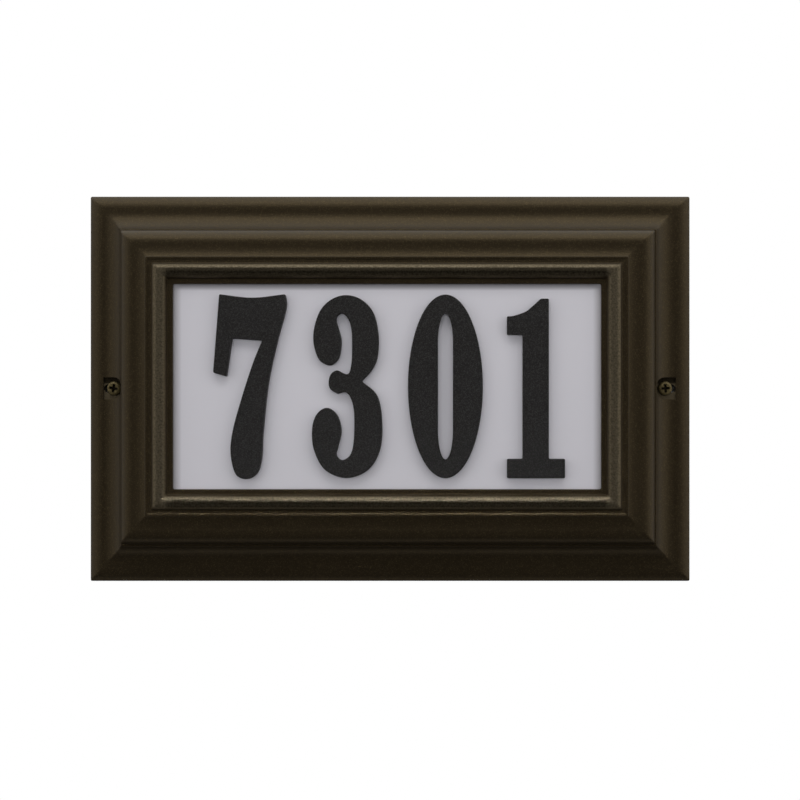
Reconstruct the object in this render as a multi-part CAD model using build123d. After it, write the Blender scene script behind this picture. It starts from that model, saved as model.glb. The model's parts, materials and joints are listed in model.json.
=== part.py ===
from build123d import *
import math
import os

# A lighted house-number plaque: a cast moulded frame around an opal panel with
# four raised numerals, screwed over a pressed back plate that carries the lights.
# Sizes are in millimetres. Each piece is drawn as if the plaque lay on its back,
# with X across it, Y up the wall and Z out of the wall, and is stood up at the
# end. Heights are above the wall, and depths run from the outer edge inwards.

# Cast frame
plaque_width = 345.0
plan_corner_radius = 0.9
casting_wall = 3.0

# Moulding of the frame, step by step from the outer edge to the bead
skirt_height = 7.0
lower_shoulder_run = 8.6
lower_shoulder_rise = 4.0
lower_cove_run = 12.4
lower_cove_rise = 8.6
lower_ledge_run = 1.5
upper_riser = 4.2
upper_shoulder_radius = 8.9
upper_cove_run = 7.3
upper_cove_rise = 1.7
upper_ledge_step = 0.6
upper_ledge_run = 1.2
quirk_depth = 1.0
quirk_run = 1.68
bead_rise = 3.0
bead_radius = 4.9
bead_foot_radius = 0.5
lip_drop = 4.0
lip_run = 2.56
arris_radius = 0.4

# Opal panel in the rebate behind the bead
panel_setback = 6.5
panel_thickness = 3.0
panel_overlap = 7.0
panel_clearance = 0.4
panel_corner_radius = 2.0
seal_thickness = 0.8
seal_width = 5.0
rail_width = 6.2

# Clips that hold the panel from behind
clip_thickness = 1.0
clip_width = 12.0
clip_grip = 5.0
clip_lip = 1.6
clip_spread_share = 0.32
clip_screw_length = 5.0
clip_screw_hole_depth = 6.0

# Numerals, the foam pads behind them, and the room above and below them.
# Their places are shares of the opening's width, from the middle.
numeral_height = 101.6
numeral_margin = 6.126
numeral_thickness = 3.2
numeral_edge = 0.5
numeral_root_radius = 1.4
numeral_notch_radius = 0.8
tape_thickness = 0.8
seven_share = -0.319
three_share = -0.0925
nought_share = 0.1365
one_share = 0.3475

# Cover screws in their pockets at the two sides
cover_screw_inset = 14.8
pocket_radius = 6.3
pocket_outer_edge = 8.6
pocket_floor = 10.0
pocket_wall = 2.5
pocket_floor_thickness = 3.0
cover_head_diameter = 8.2
cover_head_height = 2.9
cover_head_bevel = 1.1
recess_reach = 4.8
recess_width = 1.1
recess_depth = 1.7
cover_shank_diameter = 4.2
cover_screw_length = 7.6
cover_slot_width = 4.8
standoff_across_flats = 8.0

# Pressed back plate
plate_thickness = 1.2
plate_gap = 0.5
plate_corner_radius = 4.0
plate_rim_height = 2.0
plate_rim_width = 22.0
wall_screw_inset_x = 42.5
wall_screw_inset_y = 48.7
wall_screw_hole = 5.0

# Foam seal between the rim of the plate and the wall
wall_seal_inset = 2.0
wall_seal_width = 9.0

# Wire entry with its grommet
wire_entry_inset = 44.7
wire_land_diameter = 26.0
wire_hole = 12.0
grommet_flange_diameter = 17.0
grommet_flange = 1.4
grommet_bore = 7.0

# Light board
board_inset_x = 56.5
board_inset_y = 66.7
board_thickness = 1.6
board_corner_radius = 3.0
board_screw_margin_x = 29.0
board_screw_margin_y = 6.0
board_screw_length = 7.2
spacer_length = 4.8
led_columns = 8
led_rows = 3
led_length = 3.5
led_width = 2.8
led_height = 0.8
led_rim = 0.4
led_window_depth = 0.2

# Terminal block on the light board
terminal_width = 12.0
terminal_depth = 8.0
terminal_height = 9.0
terminal_pitch = 5.0
terminal_bevel = 1.1
terminal_wire_hole = 2.6
terminal_wire_height = 3.0
terminal_screw_diameter = 2.6
terminal_screw_length = 4.0
terminal_screw_sink = 0.65
terminal_slot_width = 0.5
terminal_slot_depth = 0.65
terminal_edge_margin = 1.0

# Hexagon-head machine screws of the clips and the light board, and their spacers
small_head_across_flats = 5.5
small_head_height = 2.0
small_shank_diameter = 3.0
screw_clearance = 0.4
thread_gap = 0.1

# Places along the moulding
lower_flat = skirt_height + lower_shoulder_rise
lower_cove_end = lower_shoulder_run + lower_cove_run
lower_ledge = lower_flat + lower_cove_rise
lower_ledge_end = lower_cove_end + lower_ledge_run
upper_shoulder_foot = lower_ledge + upper_riser
upper_flat_start = lower_ledge_end + upper_shoulder_radius
upper_flat = upper_shoulder_foot + upper_shoulder_radius
upper_cove_end = upper_flat_start + upper_cove_run
upper_cove_top = upper_flat + upper_cove_rise
upper_ledge = upper_cove_top + upper_ledge_step
upper_ledge_end = upper_cove_end + upper_ledge_run
quirk_floor = upper_ledge - quirk_depth
bead_crest = upper_ledge + bead_rise
bead_height = bead_crest - bead_radius
bead_outer_foot = upper_ledge_end + quirk_run
bead_place = bead_outer_foot + math.sqrt(bead_radius ** 2 - (quirk_floor - bead_height) ** 2)
lip_front = bead_crest - lip_drop
bead_inner_foot = bead_place + math.sqrt(bead_radius ** 2 - (lip_front - bead_height) ** 2)
lip_edge = bead_inner_foot + lip_run

# Places behind the bead
panel_front = bead_crest - panel_setback
panel_back = panel_front - panel_thickness
lip_underside = panel_front + seal_thickness
panel_edge = lip_edge - panel_overlap
plaque_height = numeral_height + 2 * numeral_margin + 2 * lip_edge
opening_width = plaque_width - 2 * lip_edge
clip_spread = clip_spread_share * opening_width
rail_inner = panel_edge - panel_clearance
rail_outer = rail_inner - rail_width
clip_screw_inset = rail_inner - rail_width / 2

# Places on the back plate
plate_inset = casting_wall + plate_gap
plate_rim_front = plate_rim_height + plate_thickness
wall_screw_spacing_x = plaque_width - 2 * wall_screw_inset_x
wall_screw_spacing_y = plaque_height - 2 * wall_screw_inset_y
wire_entry_drop = plaque_height / 2 - wire_entry_inset
standoff_top = pocket_floor - pocket_floor_thickness

# Places on the light board
board_width = plaque_width - 2 * board_inset_x
board_height = plaque_height - 2 * board_inset_y
board_screw_spacing_x = board_width - 2 * board_screw_margin_x
board_screw_spacing_y = board_height - 2 * board_screw_margin_y
board_back = plate_thickness + spacer_length
board_front = board_back + board_thickness


def block(width, height, low, high, corner=0.0):
    """A flat slab about the middle of the plaque, between two heights."""
    outline = RectangleRounded(width, height, corner) if corner else Rectangle(width, height)
    return Pos(0, 0, low) * extrude(outline, amount=high - low)


def slab(inset, low, high, corner=0.0):
    """A flat slab whose edge keeps one distance from the plaque's outer edge."""
    return block(plaque_width - 2 * inset, plaque_height - 2 * inset, low, high, corner)


def disc(diameter, low, high):
    """A round slab between two heights."""
    return Pos(0, 0, low) * extrude(Circle(diameter / 2), amount=high - low)


def six_sided(across_flats, low, high):
    """A hexagonal slab between two heights, by the distance across its flats."""
    outline = RegularPolygon(across_flats / 2, 6, major_radius=False)
    return Pos(0, 0, low) * extrude(outline, amount=high - low)


def arc(centre, start, end):
    """The shorter arc from start to end about a centre."""
    radius = math.dist(centre, start)
    outward = [(s + e) / 2 - c for s, e, c in zip(start, end, centre)]
    stretch = radius / math.hypot(*outward)
    middle = tuple(c + o * stretch for c, o in zip(centre, outward))
    return ThreePointArc(start, middle, end)


def turn_radius(run, rise):
    """Radius of an arc that is level at one end and covers this run and rise."""
    return (run ** 2 + rise ** 2) / (2 * rise)


def moulding(foot, ease=arris_radius):
    """Face under the frame's visible moulding, from the outer edge to the lip."""
    lower_shoulder = turn_radius(lower_shoulder_run, lower_shoulder_rise)
    lower_cove = turn_radius(lower_cove_run, lower_cove_rise)
    upper_cove = turn_radius(upper_cove_run, upper_cove_rise)
    with BuildSketch() as face:
        with BuildLine():
            Line((0, foot), (0, skirt_height))
            arc((lower_shoulder_run, lower_flat - lower_shoulder),
                (0, skirt_height), (lower_shoulder_run, lower_flat))
            arc((lower_shoulder_run, lower_flat + lower_cove),
                (lower_shoulder_run, lower_flat), (lower_cove_end, lower_ledge))
            Polyline(
                (lower_cove_end, lower_ledge),
                (lower_ledge_end, lower_ledge),
                (lower_ledge_end, upper_shoulder_foot),
            )
            arc((upper_flat_start, upper_shoulder_foot),
                (lower_ledge_end, upper_shoulder_foot), (upper_flat_start, upper_flat))
            arc((upper_flat_start, upper_flat + upper_cove),
                (upper_flat_start, upper_flat), (upper_cove_end, upper_cove_top))
            Polyline(
                (upper_cove_end, upper_cove_top),
                (upper_cove_end, upper_ledge),
                (upper_ledge_end, upper_ledge),
                (upper_ledge_end, quirk_floor),
                (bead_outer_foot, quirk_floor),
            )
            arc((bead_place, bead_height), (bead_outer_foot, quirk_floor), (bead_inner_foot, lip_front))
            Polyline(
                (bead_inner_foot, lip_front),
                (lip_edge, lip_front),
                (lip_edge, foot),
                (0, foot),
            )
        make_face()
        arrises = [(0, skirt_height), (lower_cove_end, lower_ledge), (lower_ledge_end, lower_ledge),
                   (upper_cove_end, upper_ledge), (upper_ledge_end, upper_ledge), (lip_edge, lip_front)]
        feet = [(bead_outer_foot, quirk_floor), (bead_inner_foot, lip_front)]
        if ease:
            fillet([face.vertices().sort_by_distance(place)[0] for place in feet], bead_foot_radius)
            fillet([face.vertices().sort_by_distance(place)[0] for place in arrises], ease)
    return face.sketch


def section_box(near, far, low, high):
    """Rectangle in the frame's section, by depth from the outer edge and height."""
    return Pos((near + far) / 2, (low + high) / 2) * Rectangle(far - near, high - low)


def frame_section():
    """The casting's own section: a skin, a rail for the clips and a rebate."""
    below = -2 * casting_wall
    solid = moulding(below)
    skin_inside = offset(moulding(below, ease=0), -casting_wall)
    hollow = skin_inside & section_box(0, rail_outer, below, bead_crest)
    under_rail = section_box(rail_outer, rail_inner, below, panel_back)
    rebate = section_box(rail_inner, lip_edge + casting_wall, below, lip_underside)
    under_wall = section_box(-casting_wall, lip_edge + casting_wall, below - casting_wall, 0)
    return solid - hollow - under_rail - rebate - under_wall


def mitred(section, width, height):
    """One member along the lower edge of a rectangle, its ends cut at 45 degrees."""
    member = extrude(Plane.YZ * Pos(-height / 2, 0) * section, amount=width / 2, both=True)
    reach = lip_edge + casting_wall
    plan = Polygon(
        (-width / 2, -height / 2),
        (width / 2, -height / 2),
        (width / 2 - reach, reach - height / 2),
        (reach - width / 2, reach - height / 2),
        align=None,
    )
    return member & Pos(0, 0, -plaque_height) * extrude(plan, amount=2 * plaque_height)


def carried_round(section):
    """A section carried round the plaque, with square mitres at the corners."""
    below = mitred(section, plaque_width, plaque_height)
    beside = Rot(0, 0, -90) * mitred(section, plaque_height, plaque_width)
    return below + Rot(0, 0, 180) * below + beside + Rot(0, 0, 180) * beside


def pocket_outline(grow=0.0):
    """D-shaped outline of a screw pocket on the right: straight outside, round inside."""
    straight = cover_screw_inset - pocket_outer_edge + grow
    height = 2 * (pocket_radius + grow)
    return Circle(pocket_radius + grow) + Pos(straight / 2, 0) * Rectangle(straight, height)


def cover_slot():
    """Slot in the pocket's floor, open from the screw to the pocket's outer side."""
    length = cover_screw_inset - pocket_outer_edge
    run = length - cover_slot_width / 2
    return Circle(cover_slot_width / 2) + Pos(run, 0) * Circle(cover_slot_width / 2) + (
        Pos(run / 2, 0) * Rectangle(run, cover_slot_width)
    )


def at_sides(solid):
    """Two copies of a solid drawn for the right-hand screw, one at each side."""
    reach = plaque_width / 2 - cover_screw_inset
    return [Pos(-reach, 0, 0) * Rot(0, 0, 180) * solid, Pos(reach, 0, 0) * solid]


def clip_places():
    """Place of each panel clip: its screw, with local X pointing to the panel."""
    reach_x = plaque_width / 2 - clip_screw_inset
    reach_y = plaque_height / 2 - clip_screw_inset
    places = []
    for x in (-clip_spread, clip_spread):
        places.append(Location((x, reach_y, 0), (0, 0, -90)))
        places.append(Location((x, -reach_y, 0), (0, 0, 90)))
    places.append(Location((-reach_x, 0, 0), (0, 0, 0)))
    places.append(Location((reach_x, 0, 0), (0, 0, 180)))
    return places


def make_frame():
    """Cast frame in one piece, with the cups of the cover screws."""
    shell = carried_round(frame_section())
    body = carried_round(moulding(0))
    for outline in at_sides(pocket_outline(pocket_wall)):
        cup = Pos(0, 0, standoff_top) * extrude(outline, amount=bead_crest)
        shell += cup & body
    for pocket, slot in zip(at_sides(pocket_outline()), at_sides(cover_slot())):
        shell -= Pos(0, 0, pocket_floor) * extrude(pocket, amount=bead_crest)
        shell -= extrude(slot, amount=bead_crest)
    thread = disc(small_shank_diameter + thread_gap, panel_back, panel_back + clip_screw_hole_depth)
    for place in clip_places():
        shell -= place * thread
    return shell & slab(0, 0, bead_crest, plan_corner_radius)


def make_panel():
    """Opal panel, loose in the rebate by its clearance."""
    return slab(panel_edge, panel_back, panel_front, panel_corner_radius)


def make_panel_seal():
    """Thin foam strip between the panel's front and the lip."""
    inner = panel_edge + seal_width
    strip = slab(panel_edge, panel_front, lip_underside, panel_corner_radius)
    return strip - slab(inner, panel_front, lip_underside)


def make_panel_clip():
    """Sheet clip under one screw, with a lip turned back at its free end."""
    tail = rail_width / 2
    reach = rail_inner - clip_screw_inset + panel_clearance + clip_grip
    low = panel_back - clip_thickness
    leaf = Pos((reach - tail) / 2, 0, low) * extrude(
        Rectangle(reach + tail, clip_width), amount=clip_thickness
    )
    lip = Pos(reach - clip_thickness / 2, 0, low - clip_lip) * extrude(
        Rectangle(clip_thickness, clip_width), amount=clip_lip
    )
    return leaf + lip - disc(small_shank_diameter + screw_clearance, low, panel_back)


def machine_screw(length):
    """Hexagon-head machine screw, seated at height 0 with its head up."""
    head = six_sided(small_head_across_flats, 0, small_head_height)
    return head + disc(small_shank_diameter, -length, 0)


def make_clip_screw():
    """Machine screw of a panel clip, driven from behind into the rail."""
    return Pos(0, 0, panel_back - clip_thickness) * Rot(180, 0, 0) * machine_screw(clip_screw_length)


def make_cover_screw():
    """Screw that holds the frame to the back plate: a bevelled head with a cross recess."""
    head = disc(cover_head_diameter, 0, cover_head_height)
    head = chamfer(head.edges().group_by(Axis.Z)[-1], cover_head_bevel)
    recess = Rectangle(recess_reach, recess_width) + Rectangle(recess_width, recess_reach)
    head -= Pos(0, 0, cover_head_height - recess_depth) * extrude(recess, amount=cover_head_height)
    return Pos(0, 0, pocket_floor) * (head + disc(cover_shank_diameter, -cover_screw_length, 0))


def make_standoff():
    """Hexagonal standoff on the back plate, tapped for a cover screw."""
    body = six_sided(standoff_across_flats, plate_rim_front, standoff_top)
    return body - disc(cover_shank_diameter + thread_gap, plate_rim_front, standoff_top)


def corners(spacing_x, spacing_y):
    """Four places on a rectangle about the middle."""
    return [Pos(x * spacing_x / 2, y * spacing_y / 2, 0) for x in (-1, 1) for y in (-1, 1)]


def make_back_plate():
    """Pressed plate: a flat dish on the wall, a raised rim and a raised wire land."""
    dish_inset = plate_inset + plate_rim_width
    plate = slab(plate_inset, plate_rim_height, plate_rim_front, plate_corner_radius)
    plate += slab(dish_inset - plate_thickness, 0, plate_rim_front, plate_corner_radius)
    plate -= slab(dish_inset, plate_thickness, plate_rim_front, plate_corner_radius - plate_thickness)
    wire = Pos(0, -wire_entry_drop, 0)
    plate += wire * disc(wire_land_diameter, 0, plate_rim_front)
    plate -= wire * disc(wire_land_diameter - 2 * plate_thickness, 0, plate_rim_height)
    plate -= wire * disc(wire_hole, 0, plate_rim_front)
    for place in corners(wall_screw_spacing_x, wall_screw_spacing_y):
        plate -= place * disc(wall_screw_hole, 0, plate_rim_front)
    tapped = disc(small_shank_diameter + thread_gap, 0, plate_rim_front)
    for place in corners(board_screw_spacing_x, board_screw_spacing_y):
        plate -= place * tapped
    for hole in at_sides(disc(cover_shank_diameter + thread_gap, 0, plate_rim_front)):
        plate -= hole
    return plate


def make_wall_seal():
    """Foam strip behind the plate's rim, pressed against the wall."""
    outer = plate_inset + wall_seal_inset
    strip = slab(outer, 0, plate_rim_height, plate_corner_radius)
    return strip - slab(outer + wall_seal_width, 0, plate_rim_height, plate_corner_radius)


def make_grommet():
    """Rubber grommet: two flanges and a neck through the raised land."""
    rear = plate_rim_height - grommet_flange
    front = plate_rim_front + grommet_flange
    body = disc(grommet_flange_diameter, plate_rim_front, front)
    body += disc(grommet_flange_diameter, rear, plate_rim_height)
    body += disc(wire_hole - thread_gap, rear, front)
    return Pos(0, -wire_entry_drop, 0) * (body - disc(grommet_bore, rear, front))


def make_light_board():
    """Circuit board that carries the light sources."""
    board = block(board_width, board_height, board_back, board_front, board_corner_radius)
    for place in corners(board_screw_spacing_x, board_screw_spacing_y):
        board -= place * disc(small_shank_diameter + screw_clearance, board_back, board_front)
    return board


def make_leds():
    """Grid of surface-mounted light sources, each a flat package with a sunk window."""
    top = board_front + led_height
    package = Pos(0, 0, board_front) * extrude(Rectangle(led_length, led_width), amount=led_height)
    window = Pos(0, 0, top - led_window_depth) * extrude(
        Rectangle(led_length - 2 * led_rim, led_width - 2 * led_rim), amount=led_height
    )
    pitch_x = board_width / led_columns
    pitch_y = board_height / led_rows
    return [
        Pos((column - (led_columns - 1) / 2) * pitch_x, (row - (led_rows - 1) / 2) * pitch_y, 0)
        * (package - window)
        for column in range(led_columns)
        for row in range(led_rows)
    ]


def make_spacer():
    """Hexagonal spacer between the back plate and the light board."""
    body = six_sided(small_head_across_flats, plate_thickness, board_back)
    return body - disc(small_shank_diameter + screw_clearance, plate_thickness, board_back)


def make_board_screw():
    """Machine screw through the board and its spacer into the back plate."""
    return Pos(0, 0, board_front) * machine_screw(board_screw_length)


def terminal_middle():
    """Middle of the terminal block on the board's lower edge."""
    return -board_height / 2 + terminal_edge_margin + terminal_depth / 2


def make_terminal_block():
    """Two-way block: wires go in from below, clamp screws from the front."""
    top = board_front + terminal_height
    body = Pos(0, 0, board_front) * extrude(
        Rectangle(terminal_width, terminal_depth), amount=terminal_height
    )
    body = chamfer(body.edges().group_by(Axis.Z)[-1].filter_by(Axis.X), terminal_bevel)
    for x in (-terminal_pitch / 2, terminal_pitch / 2):
        mouth = Pos(x, 0, board_front + terminal_wire_height) * Rot(90, 0, 0) * disc(
            terminal_wire_hole, 0, terminal_depth
        )
        body -= mouth
        body -= Pos(x, 0, 0) * disc(
            terminal_screw_diameter + thread_gap, top - terminal_screw_length, top
        )
    return Pos(0, terminal_middle(), 0) * body


def make_terminal_screws():
    """Clamp screws of the terminal block, sunk below its top."""
    block_top = board_front + terminal_height
    top = block_top - terminal_screw_sink
    screw = disc(terminal_screw_diameter, block_top - terminal_screw_length, top)
    slot = Pos(0, 0, top - terminal_slot_depth) * extrude(
        Rectangle(terminal_screw_diameter, terminal_slot_width), amount=terminal_slot_depth
    )
    return [Pos(x, terminal_middle(), 0) * (screw - slot) for x in (-terminal_pitch / 2, terminal_pitch / 2)]


def drawn(*points):
    """Points of a numeral, drawn in hundredths of its height about its middle."""
    return [(x * numeral_height / 100, y * numeral_height / 100) for x, y in points]


def outlined(*curves):
    """Face inside a closed run of curves."""
    return make_face([edge for curve in curves for edge in curve.edges()])


def flowing(points):
    """Smooth run of arcs through points, with two arcs from each point to the next.

    The heading at a point lies between its two chords, nearer the shorter one.
    """
    places = [Vector(x, y) for x, y in points]
    chords = [after - before for before, after in zip(places, places[1:])]
    headings = [
        (before.normalized() * after.length + after.normalized() * before.length).normalized()
        for before, after in zip(chords, chords[1:])
    ]
    first, last = chords[0].normalized(), chords[-1].normalized()
    headings.insert(0, first * 2 * first.dot(headings[0]) - headings[0])
    headings.append(last * 2 * last.dot(headings[-1]) - headings[-1])
    arcs = []
    for start, chord, leave, arrive in zip(places, chords, headings, headings[1:]):
        along = chord.dot(leave + arrive)
        turn = 2 * (1 - leave.dot(arrive))
        reach = chord.dot(chord) / (along + math.sqrt(along ** 2 + turn * chord.dot(chord)))
        meeting = start + (chord + (leave - arrive) * reach) * 0.5
        arcs.append(TangentArc(start, meeting, tangent=leave))
        arcs.append(TangentArc(meeting, start + chord, tangent=arcs[-1] % 1))
    return Curve() + arcs


def seven():
    """Dipped top bar with a short leg, and a stem that swells to a round foot."""
    top_left, top_dip, top_right = drawn((-16.7, 50.2), (1.2, 48.3), (19.3, 50.2))
    stem = drawn(
        (19.3, 50.2), (20.0, 44.9), (18.7, 38.0), (15.1, 24.9), (10.2, 2.1), (7.3, -24.0),
        (6.5, -38.4), (4.2, -46.9), (-1.4, -50.5), (-7.7, -47.8), (-10.5, -36.4),
        (-9.3, -24.0), (-4.9, -7.7), (1.4, 11.9), (6.7, 25.0),
    )
    leg = drawn((6.7, 25.0), (-9.7, 26.2), (-12.7, 5.4), (-20.0, 7.5), (-16.7, 50.2))
    return outlined(
        ThreePointArc(top_left, top_dip, top_right), flowing(stem), Polyline(*leg)
    )


def three():
    """Two lobes from the notch at the right, curled to drops at the left."""
    lower = drawn(
        (8.1, 2.8), (16.3, -4.9), (19.0, -18.7), (17.9, -34.4), (11.4, -45.5), (-0.3, -49.9),
        (-12.0, -45.5), (-18.1, -34.4), (-19.0, -22.6), (-16.3, -14.8), (-10.8, -11.6),
        (-5.4, -15.6), (-3.1, -24.2), (-4.9, -32.9), (-5.8, -37.4), (-2.7, -40.1), (1.7, -37.2),
        (3.6, -29.5), (3.8, -14.2), (1.8, -6.1), (-1.2, -3.1), (-5.3, -4.1),
    )
    upper = drawn(
        (-5.3, -4.1), (-9.3, -1.3), (-10.0, 3.0), (-8.7, 6.9), (-5.5, 8.8), (-2.2, 7.3), (0.8, 6.9),
        (2.4, 12.8), (2.7, 21.7), (2.4, 30.5), (0.8, 36.2), (-2.7, 39.8), (-5.9, 37.0),
        (-4.3, 30.5), (-3.1, 24.6), (-4.1, 16.3), (-6.9, 12.5), (-10.2, 11.5), (-15.3, 14.6),
        (-18.2, 23.1), (-17.9, 31.9), (-14.6, 41.3), (-8.5, 47.4), (-0.4, 49.7), (7.9, 47.2),
        (14.4, 40.0), (17.1, 27.6), (16.5, 15.7), (13.4, 8.7), (8.1, 2.8),
    )
    plain = outlined(flowing(lower), flowing(upper))
    notches = [plain.vertices().sort_by_distance((x, y, 0))[0] for x, y in (lower[0], lower[-1])]
    return fillet(notches, numeral_notch_radius)


def nought():
    """Tall ellipse with a narrow round-ended opening."""
    (half_width, half_height), (eye_half, eye_end), (_, eye_straight) = drawn(
        (20.4, 50.0), (4.1, 16.1), (0.0, 23.6)
    )
    eye = Rectangle(2 * eye_half, 2 * eye_straight)
    for end in (-eye_straight, eye_straight):
        eye += Pos(0, end) * Ellipse(eye_half, eye_end)
    return Ellipse(half_width, half_height) - eye


def one():
    """Square foot and stem, with a flag that sweeps up to the top."""
    foot_and_stem = drawn(
        (-15.8, 38.2), (-15.8, 28.1), (-7.3, 28.1), (-7.3, -39.4), (-15.8, -39.4), (-15.8, -50.0),
        (15.8, -50.0), (15.8, -39.4), (7.0, -39.4), (7.0, 47.8), (2.6, 47.8),
    )
    sweep_up = drawn((2.6, 47.8), (-2.1, 43.5), (-5.9, 40.6), (-12.7, 38.3), (-15.8, 38.2))
    plain = outlined(Polyline(*foot_and_stem), flowing(sweep_up))
    inner = plain.vertices().sort_by_distance((0, -39.4, 0))[:2]
    return fillet(inner, numeral_root_radius)


numeral_faces = {"7": seven, "3": three, "0": nought, "1": one}
numeral_shares = {"7": seven_share, "3": three_share, "0": nought_share, "1": one_share}
numeral_pads = {
    "7": [((24, 14), (0, 37)), ((9, 26), (-1.5, -26))],
    "3": [((9, 24), (9.5, 27)), ((9, 28), (11, -22)), ((6, 12), (-12.5, 27)), ((6, 12), (-12.5, -30))],
    "0": [((8, 52), (-12, 0)), ((8, 52), (12, 0))],
    "1": [((9, 70), (0, -2))],
}


def make_numeral(digit):
    """One raised numeral with its front edge eased."""
    base = panel_front + tape_thickness
    solid = Pos(0, 0, base) * extrude(numeral_faces[digit](), amount=numeral_thickness)
    eased = chamfer(solid.edges().group_by(Axis.Z)[-1], numeral_edge)
    return Pos(numeral_shares[digit] * opening_width, 0, 0) * eased


def make_pads(digit):
    """Adhesive foam pads behind a numeral: width, height and middle of each, on its strokes."""
    middle = numeral_shares[digit] * opening_width
    return [
        Pos(middle + x, y, panel_front) * extrude(Rectangle(width, height), amount=tape_thickness)
        for (width, height), (x, y) in zip(*(drawn(*row) for row in zip(*numeral_pads[digit])))
    ]


def plaque_pieces():
    """Every piece of the plaque by name, lying on its back."""
    pieces = {
        "frame": make_frame(),
        "face_panel": make_panel(),
        "panel_seal": make_panel_seal(),
        "back_plate": make_back_plate(),
        "wall_seal": make_wall_seal(),
        "wire_grommet": make_grommet(),
        "light_board": make_light_board(),
        "led_grid": Compound(make_leds()),
        "terminal_block": make_terminal_block(),
        "terminal_screws": Compound(make_terminal_screws()),
    }
    for digit in numeral_faces:
        pieces["numeral_" + digit] = make_numeral(digit)
        pieces["numeral_tape_" + digit] = Compound(make_pads(digit))
    for side, screw, standoff in zip(
        ("left", "right"), at_sides(make_cover_screw()), at_sides(make_standoff())
    ):
        pieces["cover_screw_" + side] = screw
        pieces["cover_standoff_" + side] = standoff
    for number, place in enumerate(clip_places(), start=1):
        pieces["panel_clip_%d" % number] = place * make_panel_clip()
        pieces["clip_screw_%d" % number] = place * make_clip_screw()
    for number, place in enumerate(corners(board_screw_spacing_x, board_screw_spacing_y), start=1):
        pieces["board_spacer_%d" % number] = place * make_spacer()
        pieces["board_screw_%d" % number] = place * make_board_screw()
    return pieces


os.makedirs("parts", exist_ok=True)
for name, piece in plaque_pieces().items():
    export_step(Rot(90, 0, 0) * piece, "parts/" + name + ".step")
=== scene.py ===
# %% [markdown]
# The packed model is a lighted house-number plaque: a moulded bronze frame with an opal
# panel, four raised numerals and two screws, and everything that sits behind them. It is
# loaded as it was packed, in metres, with X across, Z up and the wall at Y = 0, so that
# the front of the plaque looks along -Y. Nothing that follows moves it. What the eye
# rests on is made again here with more points and softer edges, and the rest keeps its
# packed shape and only gets its finish.

# %% Load the packed plaque
import json
import math
import bpy
import numpy as np
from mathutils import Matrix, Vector
from mathutils.geometry import tessellate_polygon


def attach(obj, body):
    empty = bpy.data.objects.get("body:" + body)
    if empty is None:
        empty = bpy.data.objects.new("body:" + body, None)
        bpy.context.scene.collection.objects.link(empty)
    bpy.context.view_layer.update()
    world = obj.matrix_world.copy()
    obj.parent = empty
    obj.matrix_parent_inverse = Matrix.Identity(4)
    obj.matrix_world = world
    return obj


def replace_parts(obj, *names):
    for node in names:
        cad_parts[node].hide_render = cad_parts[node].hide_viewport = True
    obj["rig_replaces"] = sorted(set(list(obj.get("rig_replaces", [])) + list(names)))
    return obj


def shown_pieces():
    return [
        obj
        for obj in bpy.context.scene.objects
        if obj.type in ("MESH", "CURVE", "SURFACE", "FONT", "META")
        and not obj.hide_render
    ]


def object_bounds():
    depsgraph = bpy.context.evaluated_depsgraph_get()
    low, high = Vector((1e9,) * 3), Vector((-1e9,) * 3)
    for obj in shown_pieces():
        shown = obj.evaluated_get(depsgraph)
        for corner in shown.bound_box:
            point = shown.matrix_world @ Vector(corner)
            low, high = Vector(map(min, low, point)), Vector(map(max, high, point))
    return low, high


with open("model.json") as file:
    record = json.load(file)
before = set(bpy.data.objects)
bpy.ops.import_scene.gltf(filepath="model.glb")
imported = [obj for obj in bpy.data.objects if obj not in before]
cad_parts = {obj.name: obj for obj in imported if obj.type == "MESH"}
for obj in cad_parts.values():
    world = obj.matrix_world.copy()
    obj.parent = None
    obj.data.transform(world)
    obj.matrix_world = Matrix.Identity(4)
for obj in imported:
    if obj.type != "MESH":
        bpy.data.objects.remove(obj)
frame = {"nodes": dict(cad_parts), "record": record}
nodes = frame["nodes"]
cad_low, cad_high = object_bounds()
MM = 0.001
half_width = cad_high.x / MM
half_height = cad_high.z / MM
print("plaque", round(2 * half_width, 1), "by", round(2 * half_height, 1), "mm,", len(nodes), "nodes")

# %% [markdown]
# A surface can be worked out as a grid of points: one index runs along a profile, the
# other runs round the piece. The faces then only join neighbours, and that rule is the
# same for every surface here. The plaque is described in millimetres with its height
# out of the wall as the third number, and is turned into the model's frame at the end.

# %% Grids, meshes and finished pieces
def row_frame(across, up, out):
    """Model point of a plaque point: (across, -out, up), in metres."""
    across, up, out = np.broadcast_arrays(across, up, out)
    return np.stack([across, -out, up], axis=-1).reshape(-1, 3) * MM


def grid_faces(rows, columns, closed_rows=False):
    """Quads of a grid closed along its columns: (r, c) joins (r, c+1), (r+1, c+1), (r+1, c)."""
    row = np.arange(rows if closed_rows else rows - 1)[:, None]
    column = np.arange(columns)[None, :]
    next_row, next_column = (row + 1) % rows, (column + 1) % columns
    corners = [row * columns + column, row * columns + next_column,
               next_row * columns + next_column, next_row * columns + column]
    return np.stack(corners, axis=-1).reshape(-1, 4)


def build_mesh(name, points, faces, crease_degrees=35.0):
    """Mesh with smooth shading, outward faces, and a crease where faces meet at more than the angle."""
    mesh = bpy.data.meshes.new(name)
    mesh.from_pydata(points.tolist(), [], [list(face) for face in faces])
    mesh.validate()
    mesh.polygons.foreach_set("use_smooth", np.ones(len(mesh.polygons), bool))
    piece = bpy.data.objects.new(name, mesh)
    bpy.context.scene.collection.objects.link(piece)
    mesh.set_sharp_from_angle(angle=math.radians(crease_degrees))
    return piece


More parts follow.
